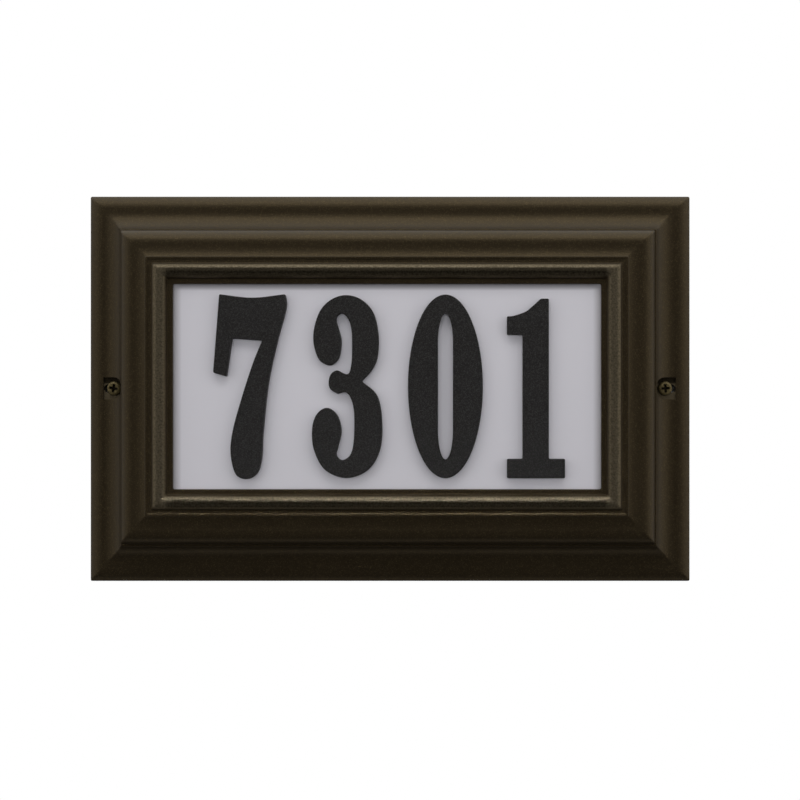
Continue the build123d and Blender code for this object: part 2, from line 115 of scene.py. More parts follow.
def finish_piece(piece, material, slot, *replaced):
    """Gives a piece its finish, and lets it ride on the plaque in place of packed nodes."""
    piece.data.materials.clear()
    piece.data.materials.append(material)
    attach(piece, "root")
    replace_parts(piece, *replaced)
    print(piece.name, len(piece.data.vertices), "points,", len(piece.data.polygons), "faces")


# %% [markdown]
# The frame's moulding is drawn as a draughtsman would set it out: arcs and short flats
# from the outer edge to the lip over the panel. A real casting has no sharp edge
# anywhere, and its coat of powder rounds every arris a little more. Setting out each
# small radius by hand would take many numbers, so the sharp profile is sampled evenly
# and then averaged along its length, which rounds every edge by about the same amount.

# %% Set out the moulding
def arc(centre, start, end, count=24):
    """Shorter arc: centre + radius * (cos a, sin a), with a stepped evenly from start to end."""
    centre, start, end = (np.array(point, float) for point in (centre, start, end))
    first = math.atan2(*(start - centre)[::-1])
    turn = (math.atan2(*(end - centre)[::-1]) - first + math.pi) % (2 * math.pi) - math.pi
    angle = first + turn * np.linspace(0, 1, count)
    return centre + np.hypot(*(start - centre)) * np.stack([np.cos(angle), np.sin(angle)], axis=1)


def turn_radius(run, rise):
    """Radius of an arc that is level at one end and covers this run and rise."""
    return (run ** 2 + rise ** 2) / (2 * rise)


skirt_height = 7.0
lower_flat, lower_ledge, upper_foot, upper_flat = 11.0, 19.6, 23.8, 32.7
upper_cove_top, upper_ledge = 34.4, 35.0
lower_flat_at, lower_ledge_at, lower_ledge_end = 8.6, 21.0, 22.5
upper_flat_at, upper_ledge_at, upper_ledge_end = 31.4, 38.7, 39.9
quirk_floor, quirk_slope_run, lip_front, lip_at = 34.6, 0.6, 34.0, 53.77
crest, bead_radius, bead_at = 38.0, 4.4, 46.6
bead_height = crest - bead_radius
outer_foot = bead_at - math.sqrt(bead_radius ** 2 - (quirk_floor - bead_height) ** 2)
inner_foot = bead_at + math.sqrt(bead_radius ** 2 - (lip_front - bead_height) ** 2)
panel_setback, panel_thickness, seal_thickness = 6.5, 3.0, 0.8
panel_front = crest - panel_setback
panel_back = panel_front - panel_thickness
lip_height = panel_front + seal_thickness
lower_shoulder = turn_radius(lower_flat_at, lower_flat - skirt_height)
lower_cove = turn_radius(lower_ledge_at - lower_flat_at, lower_ledge - lower_flat)
upper_cove = turn_radius(upper_ledge_at - upper_flat_at, upper_cove_top - upper_flat)

moulding = np.concatenate([
    [(0.0, 0.0)],
    arc((lower_flat_at, lower_flat - lower_shoulder), (0, skirt_height), (lower_flat_at, lower_flat)),
    arc((lower_flat_at, lower_flat + lower_cove), (lower_flat_at, lower_flat),
        (lower_ledge_at, lower_ledge)),
    [(lower_ledge_end, lower_ledge)],
    arc((upper_flat_at, upper_foot), (lower_ledge_end, upper_foot), (upper_flat_at, upper_flat)),
    arc((upper_flat_at, upper_flat + upper_cove), (upper_flat_at, upper_flat),
        (upper_ledge_at, upper_cove_top)),
    [(upper_ledge_at, upper_ledge), (upper_ledge_end, upper_ledge),
     (upper_ledge_end + quirk_slope_run, quirk_floor)],
    arc((bead_at, bead_height), (outer_foot, quirk_floor), (bead_at, crest), 30),
    arc((bead_at, bead_height), (bead_at, crest), (inner_foot, lip_front), 30),
    [(lip_at, lip_front), (lip_at, lip_height)],
])
print("moulding", len(moulding), "points, lip", round(lip_at, 2), "mm in from the edge")


# %% Round its edges
def evenly(points, step):
    """Same line with points every step along its length, ends kept."""
    length = np.concatenate([[0], np.cumsum(np.hypot(*np.diff(points, axis=0).T))])
    keep = np.concatenate([[True], np.diff(length) > 0])
    marks = np.linspace(0, length[-1], int(length[-1] / step) + 1)
    return np.stack([np.interp(marks, length[keep], points[keep, k]) for k in (0, 1)], axis=1)


def softened(points, reach, step):
    """Average of each point with its neighbours, weighted by a bell curve of this reach, ends kept."""
    span = int(3 * reach / step)
    weight = np.exp(-0.5 * (np.arange(-span, span + 1) * step / reach) ** 2)
    weight /= weight.sum()
    before = 2 * points[0] - points[1:span + 1][::-1]
    after = 2 * points[-1] - points[-span - 1:-1][::-1]
    padded = np.concatenate([before, points, after])
    return np.stack([np.convolve(padded[:, k], weight, "valid") for k in (0, 1)], axis=1)


profile_step = 0.2
edge_reach = 0.28
face_line = softened(evenly(moulding, profile_step), edge_reach, profile_step)
face_line[-1] = moulding[-1]
print("softened moulding", len(face_line), "points")

# %% [markdown]
# Behind its face the casting is a skin of even thickness, so its back is the same line
# set off inwards. Where the line turns tightly the set-off folds over itself; the folded
# points lie too near the face, and leaving them out is enough to mend it. The line is
# closed by the rail that holds the panel's clips and by the rebate that the panel sits in.

# %% Close the section behind the face
casting_wall = 3.0
panel_overlap, panel_clearance, rail_width = 7.0, 0.4, 6.2
rail_inner = lip_at - panel_overlap - panel_clearance
rail_outer = rail_inner - rail_width

run = np.gradient(face_line, axis=0)
inward = np.stack([run[:, 1], -run[:, 0]], axis=1) / np.hypot(*run.T)[:, None]
behind = face_line + inward * casting_wall
nearest = np.sqrt(((behind[:, None] - face_line[None]) ** 2).sum(axis=2)).min(axis=1)
behind = behind[(nearest > casting_wall - 0.02) & (behind[:, 0] < rail_outer) & (behind[:, 1] > 0)]
rear_line = np.concatenate([
    [(rail_inner, lip_height), (rail_inner, panel_back), (rail_outer, panel_back),
     (rail_outer, behind[-1, 1])],
    behind[::-4],
    [(casting_wall, 0.0)],
])
section = np.concatenate([face_line, rear_line])
print("section", len(section), "points")

# %% [markdown]
# The section is carried round a rectangle. At a depth d from the outer edge the ring is a
# rectangle with half sides (w - d) and (h - d), and its corners get a small radius, so the
# mitres read as fine soft lines and not as knife cuts, as they do on a cast frame.

# %% Carry the section round the plaque
def ring(depth, corner, steps):
    """Rounded rectangle: (w - d - r, h - d - r) with each quadrant's signs, plus r (cos a, sin a)."""
    quarter = np.linspace(0, math.pi / 2, steps)
    angle = np.concatenate([quarter + k * math.pi / 2 for k in range(4)])
    side_x = np.repeat([1, -1, -1, 1], steps)
    side_y = np.repeat([1, 1, -1, -1], steps)
    x = side_x * (half_width - depth - corner) + corner * np.cos(angle)
    y = side_y * (half_height - depth - corner) + corner * np.sin(angle)
    return x, y


corner_radius = 0.9
corner_steps = 7
ring_x, ring_y = ring(section[:, :1], corner_radius, corner_steps)
casting_points = row_frame(ring_x, ring_y, section[:, 1:])
casting_faces = grid_faces(len(section), 4 * corner_steps, closed_rows=True)
casting = build_mesh("moulded_frame", casting_points, casting_faces)
print("casting", len(casting_points), "points")

# %% [markdown]
# Each side screw sits in a small pocket. A cup is first joined to the inside of the skin,
# and the pocket and the slot under the screw are then cut out of it. Cutting one closed
# solid out of another is what the Boolean modifier does well, and because the moulding's
# strips are flat from mitre to mitre the cut leaves no dents in the shading.

# %% Cups, pockets and slots of the side screws
screw_inset = 14.8
screw_at = half_width - screw_inset
pocket_floor = 10.0
cup_bottom = 7.0


def pocket_line(radius, straight, count=28):
    """Half circle about the screw on the inner side, closed by a straight run outwards."""
    angle = np.linspace(math.pi / 2, 3 * math.pi / 2, count)
    x = np.concatenate([radius * np.cos(angle), [straight, straight]])
    y = np.concatenate([radius * np.sin(angle), [-radius, radius]])
    return x, y


def slot_line(radius, length, count=14):
    """Two half circles of the slot's half width, one about the screw and one at its outer end."""
    inner = np.linspace(math.pi / 2, 3 * math.pi / 2, count)
    outer = inner + math.pi
    x = np.concatenate([radius * np.cos(inner), length + radius * np.cos(outer)])
    y = np.concatenate([radius * np.sin(inner), radius * np.sin(outer)])
    return x, y


def prism(name, side, line, low, high):
    """Closed block over an outline: rings of the outline scaled 0 to 1 below and above, side 1 or -1."""
    x, y = line
    scale = np.linspace(0.001, 1, 14)[:, None]
    across = side * (screw_at + x * scale)
    up = np.broadcast_to(side * y * scale, across.shape)
    top = high(half_width - np.abs(across)) if callable(high) else np.full(across.shape, high)
    points = np.concatenate([
        row_frame(across, up, low),
        row_frame(across[::-1], up[::-1], top[::-1]),
    ])
    faces = grid_faces(2 * len(scale), len(x), closed_rows=True)
    return build_mesh(name, points, faces)


def cut_or_join(piece, tool, operation):
    """Applies one Boolean to the piece's mesh and removes the tool."""
    step = piece.modifiers.new(operation.lower(), "BOOLEAN")
    step.operation = operation
    step.solver = "EXACT"
    step.object = tool
    depsgraph = bpy.context.evaluated_depsgraph_get()
    made = bpy.data.meshes.new_from_object(piece.evaluated_get(depsgraph))
    piece.modifiers.clear()
    piece.data = made
    bpy.data.objects.remove(tool)


def under_skin(depth):
    """Height halfway through the skin at a depth, so that a cup ends inside it."""
    return np.interp(depth, face_line[:, 0], face_line[:, 1]) - casting_wall / 2


pocket_radius, pocket_straight, cup_wall = 6.3, 6.2, 2.5
slot_radius = 2.4
for side in (-1, 1):
    cup = prism("cup", side, pocket_line(pocket_radius + cup_wall, pocket_straight + cup_wall),
                cup_bottom, under_skin)
    cut_or_join(casting, cup, "UNION")
for side in (-1, 1):
    pocket = prism("pocket", side, pocket_line(pocket_radius, pocket_straight), pocket_floor, 45.0)
    cut_or_join(casting, pocket, "DIFFERENCE")
    slot = prism("slot", side, slot_line(slot_radius, pocket_straight - slot_radius), 0.0, 20.0)
    cut_or_join(casting, slot, "DIFFERENCE")
casting.data.polygons.foreach_set("use_smooth", np.ones(len(casting.data.polygons), bool))
casting.data.set_sharp_from_angle(angle=math.radians(35))
print("casting with pockets", len(casting.data.polygons), "faces")

# %% [markdown]
# The numerals are plates with a rounded front edge. Their outlines are drawn in hundredths
# of the numeral's height, and a smooth curve is passed through the points. The rounded
# edge is a family of rings, each a little higher and further in than the last: at an
# angle a the ring is set in by e (1 - cos a) and raised by e sin a.

# %% Draw the numerals
numeral_height = 101.6
opening_width = 2 * (half_width - lip_at)


def through(points, per_span=10, closed=False):
    """Catmull-Rom curve: each span blends its four nearest points with cubic weights."""
    points = np.array(points, float)
    if closed:
        before, after = points[-2:-1], points[1:2]
    else:
        before, after = 2 * points[:1] - points[1:2], 2 * points[-1:] - points[-2:-1]
    line = np.concatenate([before, points, after])
    t = np.linspace(0, 1, per_span, endpoint=False)[None, :, None]
    a, b, c, d = (line[k:len(line) - 3 + k][:, None] for k in range(4))
    curve = 0.5 * (2 * b + (c - a) * t + (2 * a - 5 * b + 4 * c - d) * t ** 2
                   + (3 * b - a - 3 * c + d) * t ** 3)
    return np.concatenate([curve.reshape(-1, 2), points[-1:]])


def seven_line():
    """Dipped top bar with a short leg, and a stem that swells to a round foot."""
    top = through([(-16.7, 50.2), (1.2, 48.3), (19.3, 50.2)])
    stem = through([
        (19.3, 50.2), (20.0, 44.9), (18.7, 38.0), (15.1, 24.9), (10.2, 2.1), (7.3, -24.0),
        (6.5, -38.4), (4.2, -46.9), (-1.4, -50.5), (-7.7, -47.8), (-10.5, -36.4),
        (-9.3, -24.0), (-4.9, -7.7), (1.4, 11.9), (6.7, 25.0),
    ])
    leg = np.array([(6.7, 25.0), (-9.7, 26.2), (-12.7, 5.4), (-20.0, 7.5), (-16.7, 50.2)])
    return [top, stem, leg]


def three_line():
    """Two lobes from the notch at the right, curled to drops at the left."""
    lower = through([
        (8.1, 2.8), (16.3, -4.9), (19.0, -18.7), (17.9, -34.4), (11.4, -45.5), (-0.3, -49.9),
        (-12.0, -45.5), (-18.1, -34.4), (-19.0, -22.6), (-16.3, -14.8), (-10.8, -11.6),
        (-5.4, -15.6), (-3.1, -24.2), (-4.9, -32.9), (-5.8, -37.4), (-2.7, -40.1), (1.7, -37.2),
        (3.6, -29.5), (3.8, -14.2), (1.8, -6.1), (-1.2, -3.1), (-5.3, -4.1),
    ])
    upper = through([
        (-5.3, -4.1), (-9.3, -1.3), (-10.0, 3.0), (-8.7, 6.9), (-5.5, 8.8), (-2.2, 7.3), (0.8, 6.9),
        (2.4, 12.8), (2.7, 21.7), (2.4, 30.5), (0.8, 36.2), (-2.7, 39.8), (-5.9, 37.0),
        (-4.3, 30.5), (-3.1, 24.6), (-4.1, 16.3), (-6.9, 12.5), (-10.2, 11.5), (-15.3, 14.6),
        (-18.2, 23.1), (-17.9, 31.9), (-14.6, 41.3), (-8.5, 47.4), (-0.4, 49.7), (7.9, 47.2),
        (14.4, 40.0), (17.1, 27.6), (16.5, 15.7), (13.4, 8.7), (8.1, 2.8),
    ])
    return [lower, upper]


def one_line():
    """Square foot and stem, with a flag that sweeps up to the top."""
    foot_and_stem = np.array([
        (-15.8, 38.2), (-15.8, 28.1), (-7.3, 28.1), (-7.3, -39.4), (-15.8, -39.4), (-15.8, -50.0),
        (15.8, -50.0), (15.8, -39.4), (7.0, -39.4), (7.0, 47.8), (2.6, 47.8),
    ])
    sweep = through([(2.6, 47.8), (-2.1, 43.5), (-5.9, 40.6), (-12.7, 38.3), (-15.8, 38.2)])
    return [foot_and_stem, sweep]


def nought_lines(count=144):
    """Outer ellipse (w cos a, h sin a), and an eye at the same angles: half ellipses and straight sides."""
    angle = np.linspace(0, 2 * math.pi, count, endpoint=False)
    outer = np.stack([20.4 * np.cos(angle), 50.0 * np.sin(angle)], axis=1)
    end = 23.6 * np.sign(np.sin(angle).round(6))
    eye = np.stack([4.1 * np.cos(angle), 16.1 * np.sin(angle) + end], axis=1)
    return outer, eye


print("numerals drawn at", numeral_height, "mm")


# %% Give an outline its thickness and rounded edge
def closed_line(parts, step=0.45):
    """Parts joined end to end, scaled to millimetres, and sampled evenly without a repeated end."""
    line = np.concatenate(parts) * numeral_height / 100
    line = evenly(line, step)[:-1]
    area = np.sum(line[:, 0] * np.roll(line[:, 1], -1) - line[:, 1] * np.roll(line[:, 0], -1))
    return line if area > 0 else line[::-1]


def rounded_corners(line, reach, step=0.45):
    """Closed line averaged with its neighbours by a bell curve, so its corners are slightly round."""
    span = int(3 * reach / step) + 1
    weight = np.exp(-0.5 * (np.arange(-span, span + 1) * step / reach) ** 2)
    weight /= weight.sum()
    return sum(w * np.roll(line, k, axis=0) for w, k in zip(weight, range(-span, span + 1)))


def set_in(line, distance):
    """Closed line moved to its left by a distance, along the mean normal of its two chords."""
    chord = np.roll(line, -1, axis=0) - np.roll(line, 1, axis=0)
    normal = np.stack([-chord[:, 1], chord[:, 0]], axis=1) / np.hypot(*chord.T)[:, None]
    return line + normal * distance


def edge_rings(line, low, high, edge, steps=6):
    """Rings of a side: straight, in by e (1 - cos a) and up by e sin a, and one level with the top."""
    angle = np.linspace(0, math.pi / 2, steps)
    rings = [(line, low)] + [
        (set_in(line, edge * (1 - math.cos(a))), high - edge * (1 - math.sin(a))) for a in angle
    ]
    return rings + [(set_in(line, edge * 1.1), high)]


pad_thickness, numeral_thickness, numeral_edge = 0.8, 3.2, 0.5
numeral_low = panel_front + pad_thickness
numeral_high = numeral_low + numeral_thickness
soft_crease = 50.0


def stacked(rings, place):
    """Points of rings laid one above the other, moved across to a place."""
    return np.concatenate([row_frame(line[:, 0] + place, line[:, 1], out) for line, out in rings])


def cap_triangles(line):
    """Triangles that fill a closed line, all turned the same way."""
    cap = np.array(tessellate_polygon([[(x, y, 0.0) for x, y in line]]))
    first, second, third = (line[cap[:, k]] for k in range(3))
    turn = np.cross(second - first, third - first)
    cap[turn < 0] = cap[turn < 0][:, ::-1]
    return cap


def raised_numeral(name, parts, place):
    """Plate over one outline: side rings, and triangles of its own ring at each end, shaded flat."""
    line = rounded_corners(closed_line(parts), 0.5)
    rings = edge_rings(line, numeral_low, numeral_high, numeral_edge)
    faces = list(grid_faces(len(rings), len(line)))
    faces += list(cap_triangles(line)[:, ::-1])
    faces += list(cap_triangles(rings[-1][0]) + (len(rings) - 1) * len(line))
    plate = build_mesh(name, stacked(rings, place), faces, soft_crease)
    for polygon in plate.data.polygons:
        polygon.use_smooth = abs(polygon.normal.y) < 0.999
    return plate


def raised_nought(name, place):
    """Plate with an eye: outer rings up, inner rings down, and quads across both ends."""
    outer, eye = (line * numeral_height / 100 for line in nought_lines())
    up = edge_rings(outer, numeral_low, numeral_high, numeral_edge)
    down = edge_rings(eye, numeral_low, numeral_high, -numeral_edge)[::-1]
    rings = up + down
    faces = grid_faces(len(rings), len(outer), closed_rows=True)
    return build_mesh(name, stacked(rings, place), faces, soft_crease)


seven = raised_numeral("raised_7", seven_line(), -0.319 * opening_width)
three = raised_numeral("raised_3", three_line(), -0.0925 * opening_width)
nought = raised_nought("raised_0", 0.1365 * opening_width)
one = raised_numeral("raised_1", one_line(), 0.3475 * opening_width)
print("numerals stand", round(numeral_high, 1), "mm out of the wall")

# %% [markdown]
# The two side screws have flat round heads with a cross recess. A head is a height over
# a disc: nearly level, with a worn edge at the rim, less a cross whose walls slope a
# little. Worked out in rings and spokes, the height is one formula, and the cross can be
# turned by the angle that each screw was left at.

# %% The screw heads
head_radius, head_height, head_side = 4.1, 2.9, 1.1
recess_depth, shank_length = 2.2, 7.6


def ramp(value, low, high):
    """Smooth step from 0 at low to 1 at high: 3 t^2 - 2 t^3."""
    t = np.clip((value - low) / (high - low), 0, 1)
    return t * t * (3 - 2 * t)


def screw_head(name, side, turn_degrees, rings=70, spokes=160):
    """Height h - c (r / R)^7 over rings and spokes, less a cross of slots, with a straight side below."""
    radius = head_radius * np.linspace(0.004, 1, rings)[:, None]
    angle = np.linspace(0, 2 * math.pi, spokes, endpoint=False)[None, :]
    x, y = radius * np.cos(angle), radius * np.sin(angle)
    crown_height = head_height - (head_height - head_side) * (radius / head_radius) ** 7
    turn = math.radians(turn_degrees)
    along = np.abs(x * math.cos(turn) + y * math.sin(turn))
    beside = np.abs(y * math.cos(turn) - x * math.sin(turn))
    long_way, short_way = np.maximum(along, beside), np.minimum(along, beside)
    arm = (1 - ramp(short_way, 0.58, 0.72)) * (1 - ramp(long_way, 2.2, 2.45))
    middle = 1 - ramp(radius, 0.8, 1.2)
    out = crown_height - recess_depth * np.maximum(arm, middle)
    side_points = row_frame(x[-1:], y[-1:], 0.0)
    shank_x, shank_y = x[-1:] * 0.5, y[-1:] * 0.5
    points = np.concatenate([row_frame(x, y, out), side_points, row_frame(shank_x, shank_y, 0.0),
                             row_frame(shank_x, shank_y, -shank_length)])
    faces = grid_faces(rings + 3, spokes)[:, ::-1]
    tip = [np.arange(spokes)[::-1] + (rings + 2) * spokes]
    crown = [np.arange(spokes)]
    place = row_frame(side * screw_at, 0.0, pocket_floor)
    return build_mesh(name, points + place, list(faces) + tip + crown, soft_crease)


left_screw = screw_head("side_screw_left", -1, -10)
right_screw = screw_head("side_screw_right", 1, 3)
print("screw heads stand", round(pocket_floor + head_height, 1), "mm out of the wall")

# %% [markdown]
# Finishes are built from a few nodes each, and read the plaque's own coordinates, so a
# pattern stays on the metal from any side. The frame has a dark bronze powder coat: a
# fine pebbled skin with metal flakes in it. Large soft noise shifts the tone a little,
# small cells pick out the flakes, and the same cells tilt the surface so they glitter.
# Cloths and hands reach the crest of the inner bead first, so there the coat is worn
# towards bare metal, and a mask by height finds it. That brighter, more metallic crest is
# also a painted highlight, and it is made less metallic on the side members, a painted
# sheen that keeps it dimmer there. The pocket floors keep a paler priming coat, and the
# top of each floor is painted near black as painted shade.

# %% A small toolbox for finishes
class Finish:
    """A material with its nodes at hand: each method adds one node and returns its output."""

    def __init__(self, name):
        self.material = bpy.data.materials.new(name)
        self.material.use_nodes = True
        self.tree = self.material.node_tree
        self.shader = self.tree.nodes["Principled BSDF"]
        self.place = self.tree.nodes.new("ShaderNodeTexCoord").outputs["Object"]

    def link(self, source, target):
        """Joins one node's output to another's input."""
        self.tree.links.new(source, target)

    def noise(self, scale, detail=2.0):
        """Soft noise, 0 to 1, with so many waves to the metre."""
        node = self.tree.nodes.new("ShaderNodeTexNoise")
        node.inputs["Scale"].default_value = scale
        node.inputs["Detail"].default_value = detail
        self.link(self.place, node.inputs["Vector"])
        return node.outputs["Fac"]

    def cells(self, scale):
        """Small cells, each with its own random value."""
        node = self.tree.nodes.new("ShaderNodeTexVoronoi")
        node.inputs["Scale"].default_value = scale
        self.link(self.place, node.inputs["Vector"])
        return node.outputs["Color"]

    def map(self, value, low, high, out_low, out_high):
        """Carries one range of a value over to another, and stops at its ends."""
        node = self.tree.nodes.new("ShaderNodeMapRange")
        self.link(value, node.inputs["Value"])
        numbers = {"From Min": low, "From Max": high, "To Min": out_low, "To Max": out_high}
        for name, number in numbers.items():
            node.inputs[name].default_value = number
        return node.outputs["Result"]

    def folded(self):
        """The place with its signs dropped, so that left and right count the same."""
        node = self.tree.nodes.new("ShaderNodeVectorMath")
        node.operation = "ABSOLUTE"
        self.link(self.place, node.inputs[0])
        return node.outputs["Vector"]

    def along(self, axis, low, high, place=None):
        """0 to 1 between two places along one axis, in millimetres."""
        parts = self.tree.nodes.new("ShaderNodeSeparateXYZ")
        self.link(place or self.place, parts.inputs[0])
        return self.map(parts.outputs[axis], low * MM, high * MM, 0.0, 1.0)

    def height(self, low, high):
        """0 to 1 between two heights above the wall, in millimetres."""
        return self.along("Y", -low, -high)

    def near(self, centre, radius):
        """1 inside a ball about a point and its mirror images, 0 outside, all in millimetres."""
        apart = self.tree.nodes.new("ShaderNodeVectorMath")
        apart.operation = "DISTANCE"
        self.link(self.folded(), apart.inputs[0])
        apart.inputs[1].default_value = [number * MM for number in centre]
        return self.map(apart.outputs["Value"], (radius - 0.5) * MM, radius * MM, 1.0, 0.0)

    def pair(self, operation, first, second):
        """One number from two: MAXIMUM for either mask, MULTIPLY for both at once."""
        node = self.tree.nodes.new("ShaderNodeMath")
        node.operation = operation
        self.link(first, node.inputs[0])
        self.link(second, node.inputs[1])
        return node.outputs[0]

    def blend(self, amount, first, second):
        """Colour between two, where each is a constant or another node's output."""
        node = self.tree.nodes.new("ShaderNodeMix")
        node.data_type = "RGBA"
        self.link(amount, node.inputs[0])
        for socket, colour in ((node.inputs[6], first), (node.inputs[7], second)):
            if isinstance(colour, tuple):
                socket.default_value = (*colour, 1.0)
            else:
                self.link(colour, socket)
        return node.outputs[2]

    def bump(self, height, strength, distance, under=None):
        """Tilts the surface as if a height stood on it, over another bump where there is one."""
        node = self.tree.nodes.new("ShaderNodeBump")
        node.inputs["Strength"].default_value = strength
        node.inputs["Distance"].default_value = distance
        self.link(height, node.inputs["Height"])
        if under is not None:
            self.link(under, node.inputs["Normal"])
        return node.outputs["Normal"]

    def set(self, **sockets):
        """Gives the shader's sockets a constant or another node's output each."""
        for name, value in sockets.items():
            socket = self.shader.inputs[name.replace("_", " ")]
            if isinstance(value, bpy.types.NodeSocket):
                self.link(value, socket)
            elif isinstance(value, tuple):
                socket.default_value = (*value, 1.0)
            else:
                socket.default_value = value


print("finish tools:", ", ".join(name for name in vars(Finish) if not name.startswith("_")))

# %% Bronze powder coat
pocket_reach = 9.5
side_bead_depth = 51.5


def bronze_powder_coat():
    """Dark bronze, pebbled, with gold flakes in some cells, a worn crest that is also a painted highlight,
    and pale primed pocket floors with painted shade at their tops.
    """
    coat = Finish("bronze_powder_coat")
    tone = coat.map(coat.noise(18.0), 0.3, 0.7, 0.0, 1.0)
    body = coat.blend(tone, (0.0128, 0.0092, 0.0054), (0.0160, 0.0117, 0.0069))
    flake = coat.map(coat.cells(2400.0), 0.66, 0.86, 0.0, 1.0)
    flaked = coat.blend(flake, body, (0.075, 0.057, 0.031))
    pocket = coat.near((screw_at, pocket_floor, 0.0), pocket_reach)
    floor = coat.pair("MULTIPLY", pocket, coat.height(pocket_floor + 0.5, pocket_floor + 0.2))
    # Painted shade: above the screw, the pocket floor turns near black.
    primer_and_painted_shade = coat.blend(coat.along("Z", 2.4, 3.4), (0.085, 0.070, 0.046), (0.002, 0.002, 0.002))
    flaked = coat.blend(floor, flaked, primer_and_painted_shade)
    # Partly wear and partly painted highlight: the bead's crest is brighter and more metallic.
    worn_crest_and_painted_highlight = coat.height(crest - 2.1, crest - 0.8)
    grain = coat.map(coat.noise(1000.0, 3.0), 0.35, 0.65, 0.0, 1.0)
    colour = coat.blend(worn_crest_and_painted_highlight, flaked, coat.blend(grain, (0.074, 0.062, 0.042), (0.145, 0.122, 0.084)))
    pebble = coat.bump(coat.noise(900.0), 0.28, 0.0003)
    glitter = coat.bump(coat.cells(2000.0), 0.05, 0.0002, pebble)
    # Painted sheen: the crest is less metallic on the side members, so its highlight stays dimmer there.
    side_bead = half_width - side_bead_depth
    side = coat.along("X", side_bead, side_bead + 1.0, coat.folded())
    crest_metal_and_painted_sheen = coat.pair("MULTIPLY", worn_crest_and_painted_highlight, coat.map(side, 0, 1, 1.0, 0.6))
    metal = coat.pair("MAXIMUM", coat.map(flake, 0, 1, 0.0, 0.6), crest_metal_and_painted_sheen)
    coat.set(Base_Color=colour, Metallic=metal,
             Roughness=coat.map(worn_crest_and_painted_highlight, 0, 1, 0.4, 0.37), Specular_IOR_Level=0.5,
             Specular_Tint=(1.0, 0.78, 0.45), Normal=glitter)
    return coat.material


bronze = bronze_powder_coat()
finish_piece(casting, bronze, "bronze_powder_coat", "frame")

# %% [markdown]
# The numerals are painted black with a fine speckle. The same cells as in the bronze coat
# pick out the specks, here grey and closer to the ground colour.

# %% Paint of the numerals
def numeral_paint():
    """Near black, lightly pebbled, with grey specks."""
    paint = Finish("numeral_black")
    speck = paint.map(paint.cells(2600.0), 0.5, 0.85, 0.0, 1.0)
    paint.set(Base_Color=paint.blend(speck, (0.0115, 0.0110, 0.0113), (0.040, 0.039, 0.040)),
              Roughness=0.5, Specular_IOR_Level=0.35,
              Normal=paint.bump(paint.noise(1100.0), 0.3, 0.0003))
    return paint.material


black = numeral_paint()
for piece, digit in ((seven, "7"), (three, "3"), (nought, "0"), (one, "1")):
    finish_piece(piece, black, "numeral_black", "numeral_" + digit)

# %% [markdown]
# The panel is opal acrylic: white, slightly cool, with a soft sheen. Its packed shape is
# kept. It sits deep behind the bead, so little light reaches its rim at the top and at
# the sides. Large lamps shade it less than the real ones did, and a darker tone near
# those edges, found by place, makes up for that.

# %% Opal acrylic
def opal_acrylic():
    """Cool white sheet with a faint clouding, a soft sheen, and painted shade near its edges under the
    frame.
    """
    sheet = Finish("opal_acrylic")
    cloud = sheet.noise(9.0, 3.0)
    body = sheet.blend(cloud, (0.83, 0.825, 0.91), (0.87, 0.865, 0.95))
    top_edge = half_height - lip_at
    side_edge = half_width - lip_at
    # Painted shade: darker tones near the top and side edges of the panel.
    dim = sheet.blend(sheet.along("Z", top_edge - 3.6, top_edge), body, (0.28, 0.27, 0.30))
    dim = sheet.blend(sheet.along("X", side_edge - 4.5, side_edge, sheet.folded()), dim, (0.50, 0.49, 0.53))
    sheet.set(Base_Color=dim, Roughness=0.32, Specular_IOR_Level=0.3)
    return sheet.material


opal = opal_acrylic()
print("panel edges at", round(half_width - lip_at, 1), "and", round(half_height - lip_at, 1), "mm")

# %% [markdown]
# The screws were painted with the frame and have since been turned, which wore the paint
# to a brassy tone on top. The cross and the foot of the head are painted near black as
# painted shade, and a mask by height finds them.

# %% Painted screws
def screw_paint():
    """Bronze paint over steel, worn brighter in spots, with painted shade, near black, in the recess and
    round the foot of the head.
    """
    paint = Finish("painted_screw")
    worn = paint.map(paint.noise(700.0, 3.0), 0.45, 0.7, 0.0, 1.0)
    brass = paint.blend(worn, (0.10, 0.081, 0.036), (0.17, 0.139, 0.068))
    # Painted shade: below this height, in the cross and round the head's foot, the paint is near black.
    top = paint.height(pocket_floor + 1.2, pocket_floor + 1.8)
    paint.set(Base_Color=paint.blend(top, (0.003, 0.003, 0.003), brass),
              Metallic=0.25, Roughness=paint.map(worn, 0, 1, 0.5, 0.4), Specular_Tint=(1.0, 0.77, 0.52),
              Normal=paint.bump(paint.noise(1500.0), 0.2, 0.0002))
    return paint.material


screw_finish = screw_paint()
finish_piece(left_screw, screw_finish, "painted_screw", "cover_screw_left")
finish_piece(right_screw, screw_finish, "painted_screw", "cover_screw_right")

# %% [markdown]
# What is behind the panel keeps its packed shape. Each material is still more than a
# colour: steel shows its rolled grain, foam its cells, the circuit board a faint weave.
# The standoffs seen through the screw slots get black steel, as painted shade.

# %% Finishes of the pieces behind
def plain_finish(name, dark, light, scale, roughness, metallic=0.0, grain=0.15, depth=0.0002):
    """Two near tones mixed by noise, with the same noise as a faint grain."""
    finish = Finish(name)
    mottle = finish.noise(scale, 3.0)
    finish.set(Base_Color=finish.blend(mottle, dark, light), Metallic=metallic, Roughness=roughness,
               Normal=finish.bump(mottle, grain, depth))
    return finish.material


